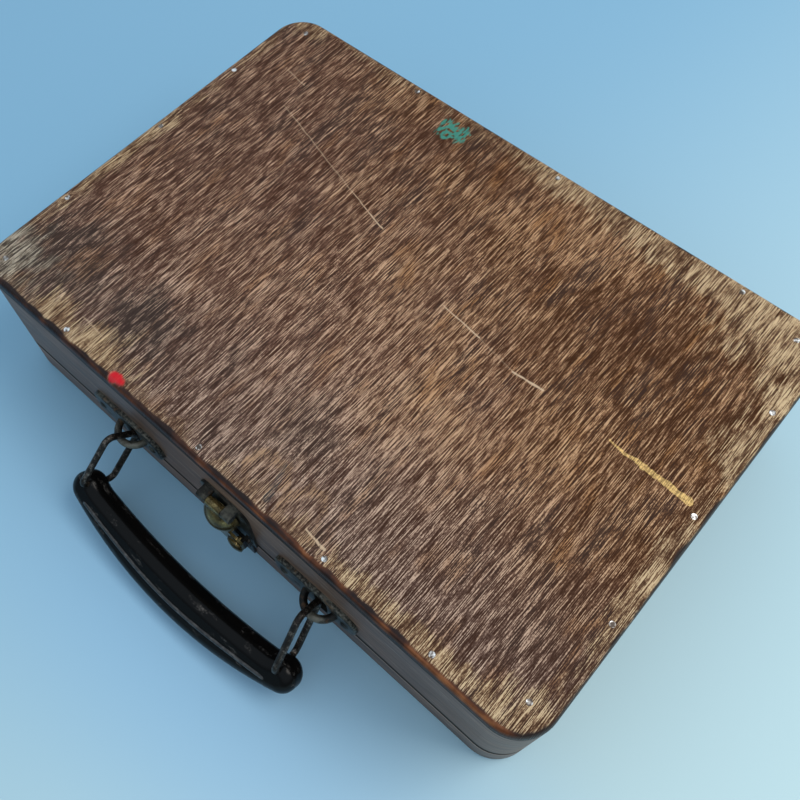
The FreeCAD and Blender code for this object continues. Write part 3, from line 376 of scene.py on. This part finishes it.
def close_sheet(made, grid):
    """Join a grid of point pairs, one for each side of a sheet, and close the rim."""
    rows = len(grid) - 1
    columns = len(grid[0]) - 1
    for side in (0, 1):
        for i in range(rows):
            for j in range(columns):
                made.faces.new([grid[i][j][side], grid[i + 1][j][side],
                                grid[i + 1][j + 1][side], grid[i][j + 1][side]])
    border = [grid[i][0] for i in range(rows)] + [grid[rows][j] for j in range(columns)] \
        + [grid[i][columns] for i in range(rows, 0, -1)] \
        + [grid[0][j] for j in range(columns, 0, -1)]
    for one, other in zip(border, border[1:] + border[:1]):
        made.faces.new((one[0], other[0], other[1], one[1]))
    bmesh.ops.recalc_face_normals(made, faces=made.faces)


def sheet_between(name, node, show, ripple):
    """A thin closed sheet in the place of a flat lining. show is 1 where its open face looks up
    and -1 where it looks down."""
    low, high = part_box(node)
    corner = 0.012
    rim_share = 0.03
    rim_drop = 0.0003
    made = bmesh.new()
    across = 60
    down = 42
    grid = []
    for i in range(across + 1):
        row = []
        for j in range(down + 1):
            u = 2 * i / across - 1
            v = 2 * j / down - 1
            px = (low[0] + high[0]) / 2 + u * (high[0] - low[0]) / 2
            py = (low[1] + high[1]) / 2 + v * (high[1] - low[1]) / 2
            past_x = abs(px) - (high[0] - corner)
            past_y = abs(py) - (high[1] - corner)
            if past_x > 0 and past_y > 0:
                reach = math.hypot(past_x, past_y)
                if reach > corner:
                    px -= math.copysign(past_x * (1 - corner / reach), px)
                    py -= math.copysign(past_y * (1 - corner / reach), py)
            sway = math.sin(px * 95 + 1.7 * math.sin(py * 40)) * math.sin(py * 70 + px * 18)
            rim = min(1 - abs(u), 1 - abs(v)) < rim_share
            drop = ripple * (0.5 - 0.5 * sway) + (rim_drop if rim else 0)
            open_face = (high[2] if show > 0 else low[2]) - show * drop
            back_face = low[2] if show > 0 else high[2]
            row.append((made.verts.new((px, py, open_face)), made.verts.new((px, py, back_face))))
        grid.append(row)
    close_sheet(made, grid)
    return new_piece(name, made, baize)


def new_piece(name, made, material):
    """Turn a bmesh into a smooth-shaded object with its material."""
    mesh = bpy.data.meshes.new(name)
    for face in made.faces:
        face.smooth = True
    made.to_mesh(mesh)
    made.free()
    mesh.materials.append(material)
    piece = bpy.data.objects.new(name, mesh)
    bpy.context.collection.objects.link(piece)
    return piece


baize, at = finish("green_baize", Sheen_Weight=0.35, Sheen_Roughness=0.5, Specular_IOR_Level=0.2)
nap = at.noise((0.0007, 0.0007, 0.0007), 3)
matted = at.noise((0.02, 0.03, 0.02), 4, 5.0)
cloth = ((nap - 0.5) * 0.8 + (matted - 0.5) * 0.9 + 0.5).ramp(
    (0.25, (0.018, 0.045, 0.027, 1)), (0.75, (0.085, 0.165, 0.105, 1)))
coat_with(baize, Base_Color=cloth, Roughness=0.85 + nap * 0.15, Normal=nap.bumps(0.6, 0.0003))
ripple = 0.00022
for name, node, body, show in (("tray_baize", "base_lining", "base", 1),
                               ("lid_baize", "lid_lining", "lid", -1)):
    low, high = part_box(node)
    baize_sheet = sheet_between(name, node, show, ripple)
    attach(baize_sheet, body)
    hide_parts(node)


def saddle_strip(name, node, opens):
    """A strip of baize bent into a saddle's notch. opens is 1 for a notch that is open above
    and -1 below."""
    low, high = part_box(node)
    rise = high[2] - low[2]
    radius = (high[1] ** 2 + rise ** 2) / (2 * rise)
    middle = low[2] + radius if opens > 0 else high[2] - radius
    mouth = high[2] if opens > 0 else low[2]
    thickness = 0.0015
    slack = 0.00018
    made = bmesh.new()
    around = 28
    across = 10
    grid = []
    for i in range(around + 1):
        row = []
        for j in range(across + 1):
            px = low[0] + (high[0] - low[0]) * j / across
            sag = slack * (0.5 + 0.5 * math.sin(i * 0.9) * math.cos(j * 1.3))
            pair = []
            for size in (radius, radius - thickness + sag):
                half = math.acos(opens * (middle - mouth) / size)
                turn = half * (2 * i / around - 1)
                pair.append(made.verts.new((px, size * math.sin(turn),
                                            middle - opens * size * math.cos(turn))))
            row.append(pair)
        grid.append(row)
    close_sheet(made, grid)
    strip = new_piece(name, made, baize)
    bent_length = 2 * (radius - thickness / 2) * math.acos(opens * (middle - mouth) / radius)
    return strip, (high[0] - low[0], bent_length)


strips = (("saddle_baize", "tube_cradle_felt", "base", 1, "tube_cradle"),
          ("clamp_baize", "lid_clamp_felt", "lid", -1, "lid_clamp_block"))
for name, node, body, opens, seat in strips:
    strip, cut = saddle_strip(name, node, opens)
    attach(strip, body)
    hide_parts(node)

# Steel butt hinges across the back seam, all gone brown-grey. Two slotted wood screws with
# low domed heads hold each leaf, their slots left at whatever angle they stopped.
hinge_metal, at = finish("tarnished_hinge", Metallic=0.85)
tarnish = at.noise((0.006, 0.006, 0.006), 5)
pitted = at.noise((0.0008, 0.0008, 0.0008), 2, 3.0)
tint = ((tarnish - 0.5) * 1.2 + (pitted - 0.5) * 0.5 + 0.5).ramp(
    (0.2, (0.05, 0.036, 0.027, 1)), (0.5, (0.16, 0.135, 0.115, 1)), (0.8, (0.34, 0.31, 0.28, 1)))
coat_with(hinge_metal, Base_Color=tint, Roughness=0.62 - tarnish * 0.35,
          Normal=pitted.bumps(0.25, 0.0001))
dress(hinge_metal, "left_hinge_base_leaf", "right_hinge_base_leaf", "left_hinge_lid_leaf",
      "right_hinge_lid_leaf", "left_hinge_pin", "right_hinge_pin", "base_hinge_screws",
      "lid_hinge_screws")


def slotted_head(made, centre, radius, rise, slot, depth, turn):
    """A low domed head looking along +Y, with a slot cut across it."""
    head = bmesh.new()
    rings = 7
    around = 40
    flatness = 2.2
    loops = []
    for k in range(rings + 1):
        share = k / rings
        height = rise * (1 - share ** flatness)
        loops.append([head.verts.new((radius * share * math.cos(2 * math.pi * i / around), height,
                                      radius * share * math.sin(2 * math.pi * i / around)))
                      for i in range(around if k else 1)])
    for i in range(around):
        after = (i + 1) % around
        head.faces.new((loops[0][0], loops[1][after], loops[1][i]))
        for k in range(1, rings):
            head.faces.new((loops[k][i], loops[k][after], loops[k + 1][after], loops[k + 1][i]))
    for side in (-1, 1):
        bmesh.ops.bisect_plane(head, geom=head.verts[:] + head.edges[:] + head.faces[:],
                               plane_co=(side * slot / 2, 0, 0), plane_no=(1, 0, 0))
    cut = [face for face in head.faces if abs(face.calc_center_median().x) < slot / 2]
    pushed = bmesh.ops.extrude_face_region(head, geom=cut)["geom"]
    for vert in (v for v in pushed if isinstance(v, bmesh.types.BMVert)):
        vert.co.y = min(vert.co.y, rise) - depth
    bmesh.ops.delete(head, geom=cut, context="FACES")
    bmesh.ops.recalc_face_normals(head, faces=head.faces)
    bmesh.ops.transform(head, matrix=Matrix.Translation(centre) @ Matrix.Rotation(turn, 4, "Y"),
                        verts=head.verts)
    loose = bpy.data.meshes.new("head")
    head.to_mesh(loose)
    head.free()
    made.from_mesh(loose)
    bpy.data.meshes.remove(loose)


head_rise = 0.00068
head_seat = 0.0007
slot_width = 0.0006
slot_depth = 0.00045
slot_turns = (0.5, 1.35, 2.6, 0.1)
for node, body, more_turn in (("base_hinge_screws", "base", 0), ("lid_hinge_screws", "lid", 0.8)):
    low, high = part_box(node)
    leaf_low, leaf_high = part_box("left_hinge_base_leaf" if body == "base" else "left_hinge_lid_leaf")
    head_radius = (high[2] - low[2]) / 2
    face_y = high[1] - head_seat
    outer_x = high[0] - head_radius
    inner_x = -(leaf_low[0] + leaf_high[0]) - outer_x
    heads = bmesh.new()
    for spot, turn in zip((-outer_x, -inner_x, inner_x, outer_x), slot_turns):
        slotted_head(heads, (spot, face_y, (low[2] + high[2]) / 2), head_radius, head_rise,
                     slot_width, slot_depth, turn + more_turn)
    heads = new_piece(node.replace("_screws", "_screw_heads"), heads, hinge_metal)
    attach(heads, body)
    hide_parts(node)

# The handle's plates and the latch's plates are blackened sheet steel, pressed with rounded
# edges. The black has worn off the raised bar and along the plates' rims; the pale rim band is
# also a painted highlight.
blackened, at = finish("blackened_steel", Metallic=0.3, Specular_IOR_Level=0.3)
x, y, z = at.parts()
cloud = at.noise((0.007, 0.007, 0.007), 4)
pitted = at.noise((0.0009, 0.0009, 0.0009), 3, 5.0)
tint = ((cloud - 0.5) * 1.2 + (pitted - 0.5) * 0.7 + 0.5).ramp(
    (0.25, (0.007, 0.006, 0.005, 1)), (0.5, (0.019, 0.017, 0.013, 1)),
    (0.8, (0.085, 0.08, 0.06, 1)))
wall_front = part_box("lid_wall_ring")[0][1]
left_low, left_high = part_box("left_handle_plate")
right_low, right_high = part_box("right_handle_plate")
between_plates = (left_low[0] + left_high[0] + right_low[0] + right_high[0]) / 4
aside = x.math("ABSOLUTE", x - between_plates)
on_plate = aside.between(0.028, 0.03)
plate_aside = (right_low[0] + right_high[0] - left_low[0] - left_high[0]) / 4
plate_height = (left_low[2] + left_high[2]) / 2
plate_half_length = 0.022
plate_half_width = 0.0095
plate_corner = 0.008
rim_in = away_from_edge(aside - plate_aside, z - plate_height, plate_half_length,
                        plate_half_width, plate_corner)
# Painted highlight mixed with wear: a pale band along each handle plate's rim
rim_wear_and_highlight = (1 - rim_in.between(0.0001, 0.0008)) * pitted.between(0.42, 0.6) * 0.6
raised = 1 - y.between(wall_front - 0.0072, wall_front - 0.0034)
wear_and_painted_highlight = on_plate * rim_wear_and_highlight.most(raised * cloud.between(0.42, 0.56))
tint = (wear_and_painted_highlight * 0.4).mix(tint, (0.32, 0.3, 0.24, 1))
rust = at.noise((0.004, 0.004, 0.004), 4, 9.0).between(0.58, 0.68)
tint = (rust * 0.5).mix(tint, (0.14, 0.07, 0.03, 1))
coat_with(blackened, Base_Color=tint, Roughness=0.5 - cloud * 0.2 + rust * 0.2 - wear_and_painted_highlight * 0.12,
          Normal=(pitted + cloud).bumps(0.3, 0.00015))
dress(blackened, "left_handle_plate", "right_handle_plate", "latch_back_plate", "latch_keeper",
      "latch_bolt_guide")
dress(blackened, "handle_plate_rivets", "latch_back_plate_rivets", "latch_keeper_rivets")

# Closed links of round steel wire join the grip to the plates. They are dull and grey-brown,
# with fine bright rubbing and brown rust in the pits.
wire, at = finish("link_wire", Metallic=0.65)
along = at.noise((0.004, 0.002, 0.002), 4)
pitted = at.noise((0.0006, 0.0006, 0.0006), 3, 2.0)
tint = ((along - 0.5) * 0.9 + (pitted - 0.5) * 0.7 + 0.5).ramp(
    (0.25, (0.008, 0.006, 0.005, 1)), (0.52, (0.024, 0.019, 0.015, 1)),
    (0.78, (0.22, 0.19, 0.16, 1)))
coat_with(wire, Base_Color=tint, Roughness=0.55 - along * 0.25, Normal=pitted.bumps(0.3, 0.0001))
dress(wire, "left_handle_link", "right_handle_link", "latch_bolt", "latch_hasp_pin")

# The grip is moulded in black and polished by hands. Its upper face is scuffed and speckled,
# and a moulded bead runs along it, inside the outer edge.
ebonite, at = finish("grip_black", Specular_IOR_Level=0.12, Coat_Roughness=0.1)
scuff = at.noise((0.01, 0.004, 0.004), 5)
speck = at.noise((0.0011, 0.0008, 0.0008), 2, 6.0)
dull = scuff.between(0.56, 0.68)
chalky = dull * speck.between(0.46, 0.62)
tint = (chalky * 0.6 + dull * 0.06).mix((0.0025, 0.0025, 0.0025, 1), (0.12, 0.11, 0.1, 1))
coat_with(ebonite, Base_Color=tint, Roughness=0.22 + dull * 0.25, Coat_Weight=0.03 - dull * 0.03,
          Normal=(speck * 0.4 + scuff).bumps(0.15, 0.00012))
dress(ebonite, "handle_grip")
polished_bead, at = finish("polished_bead", Coat_Weight=0.2, Coat_Roughness=0.14)
speck = at.noise((0.002, 0.001, 0.001), 3, 3.0)
coat_with(polished_bead, Base_Color=speck.ramp((0.35, (0.005, 0.005, 0.005, 1)),
                                               (0.5, (0.013, 0.013, 0.013, 1)),
                                               (0.7, (0.07, 0.068, 0.065, 1))),
          Roughness=0.45 - speck * 0.3)

droop = math.radians(46)
axis_out = 0.0112
axis_height = 0.036
pivot = Vector((0, wall_front - axis_out, axis_height))
outward = Vector((0, -math.cos(droop), -math.sin(droop)))
upward = Vector((0, -math.sin(droop), math.cos(droop)))
bow = 0.175
reach = 0.046
face_up = 0.0065
bead_half = 0.001
bead_rise = 0.0007
bead_sunk = 0.0002
bead_end = 0.0585
inset_middle = 0.0088
inset_loss = 0.0032
fade_rate = 9
bead = bmesh.new()
steps = 72
profile = 8
rows = []
for i in range(steps + 1):
    share = 2 * i / steps - 1
    turn = share * math.asin(bead_end / bow)
    inset = inset_middle - inset_loss * share ** 4
    fade = min(1.0, (1 - abs(share)) * fade_rate)
    row = []
    for k in range(profile + 1):
        angle = math.pi * k / profile
        from_centre = bow - inset + bead_half * math.cos(angle)
        across = from_centre * math.sin(turn)
        out = reach - bow + from_centre * math.cos(turn)
        lift = face_up - bead_sunk + (bead_rise * fade + bead_sunk) * math.sin(angle)
        row.append(bead.verts.new(pivot + Vector((across, 0, 0)) + outward * out + upward * lift))
    rows.append(row)
for one, other in zip(rows, rows[1:]):
    for k in range(profile):
        bead.faces.new((one[k], other[k], other[k + 1], one[k + 1]))
    bead.faces.new((one[profile], other[profile], other[0], one[0]))
bead.faces.new(rows[0][::-1])
bead.faces.new(rows[-1])
bmesh.ops.recalc_face_normals(bead, faces=bead.faces)
bead = new_piece("grip_bead", bead, polished_bead)
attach(bead, "handle")

# The latch's domed hasp and its thumb button are brass gone olive brown, with a worn
# orange spot where the thumb presses.
brass, at = finish("tarnished_brass", Metallic=0.7)
cloud = at.noise((0.005, 0.005, 0.005), 4)
pitted = at.noise((0.0007, 0.0007, 0.0007), 3, 4.0)
tint = ((cloud - 0.5) * 1.2 + (pitted - 0.5) * 0.6 + 0.48).ramp(
    (0.2, (0.04, 0.028, 0.011, 1)), (0.5, (0.16, 0.115, 0.042, 1)), (0.8, (0.45, 0.34, 0.15, 1)))
hasp_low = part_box("latch_hasp")[0]
thumb_spot = (0.0025, hasp_low[1] + 0.002, 0.0415)
from_thumb = at.vector("DISTANCE", at, thumb_spot, output="Value")
thumbed = 1 - (from_thumb + (cloud - 0.5) * 0.01).between(0.002, 0.0055)
thumbed = thumbed.most(cloud.between(0.62, 0.7) * 0.5)
tint = (thumbed * 0.8).mix(tint, (0.5, 0.26, 0.07, 1))
coat_with(brass, Base_Color=tint, Roughness=0.33 - cloud * 0.2, Normal=pitted.bumps(0.3, 0.00012))
dress(brass, "latch_hasp", "latch_thumb_button")

# A plain pale blue sheet lies under the case. Its colour is painted paler to the right, as
# painted light, and a deeper blue in front of the handle is painted shade.
sheet_colour, at = finish("pale_sheet", Roughness=0.6, Specular_IOR_Level=0.2)
x, y, _ = at.parts()
# Painted light: the sheet's colour grows paler towards the lamp's side
drift = (at.noise((0.5, 0.5, 1.0), 1) - 0.5) * 0.12
right = (x - y * 0.3 + drift).between(-0.22, 0.36)
blue = right.mix((0.235, 0.45, 0.615, 1), (0.55, 0.735, 0.75, 1))
# Painted shade: a deeper blue patch on the sheet in front of the handle
deeper = patch(at, 0.0, (0.04, -0.15), (0.13, 0.055), 0.9)
coat_with(sheet_colour, Base_Color=(deeper * 0.45).mix(blue, (0.17, 0.42, 0.72, 1)))
ground = bmesh.new()
half_width = 4
bmesh.ops.create_grid(ground, x_segments=1, y_segments=1, size=half_width)
floor_mesh = bpy.data.meshes.new("floor")
ground.to_mesh(floor_mesh)
ground.free()
floor_mesh.materials.append(sheet_colour)
floor = bpy.data.objects.new("floor", floor_mesh)
just_below_case = -0.0002
floor.location.z = just_below_case
bpy.context.collection.objects.link(floor)

# Soft light from a pale room whose lower walls are dark, and one large lamp above the
# back right corner of the case
world = bpy.data.worlds.new("room")
bpy.context.scene.world = world
world.use_nodes = True
around = world.node_tree.nodes.new("ShaderNodeTexCoord")
height = Socket(world.node_tree, around.outputs["Generated"]).parts()[2]
room_light = height.ramp((0.0, (0.15, 0.18, 0.21, 1)), (0.25, (0.27, 0.32, 0.38, 1)),
                         (0.55, (0.74, 0.87, 1.0, 1)), (1.0, (0.8, 0.93, 1.06, 1)))
world.node_tree.links.new(room_light.output, world.node_tree.nodes["Background"].inputs["Color"])
world.node_tree.nodes["Background"].inputs["Strength"].default_value = 0.85

window_light = bpy.data.lights.new("window", "AREA")
window_light.energy = 12.5
window_light.size = 0.8
window_light.color = (1.0, 0.93, 0.86)
window = bpy.data.objects.new("window", window_light)
window.location = (0.7, 0.5, 1.3)
towards_case = Vector((0.0, 0.0, 0.05)) - window.location
window.rotation_euler = towards_case.to_track_quat("-Z", "Y").to_euler()
bpy.context.collection.objects.link(window)

# The photograph was taken from above the handle side, with a wide lens
lens = bpy.data.cameras.new("view")
lens.sensor_width = 36
lens.lens = 39.69
lens.shift_x = 0.0652
lens.shift_y = -0.0286
lens.clip_start = 0.01
camera = bpy.data.objects.new("view", lens)
above_panel = 0.3099
camera.location = (0.1307, -0.1543, top + above_panel)
camera.rotation_euler = [math.radians(angle) for angle in (28.10, 1.82, 42.22)]
bpy.context.collection.objects.link(camera)
bpy.context.scene.camera = camera
bpy.context.scene.view_settings.view_transform = "Standard"
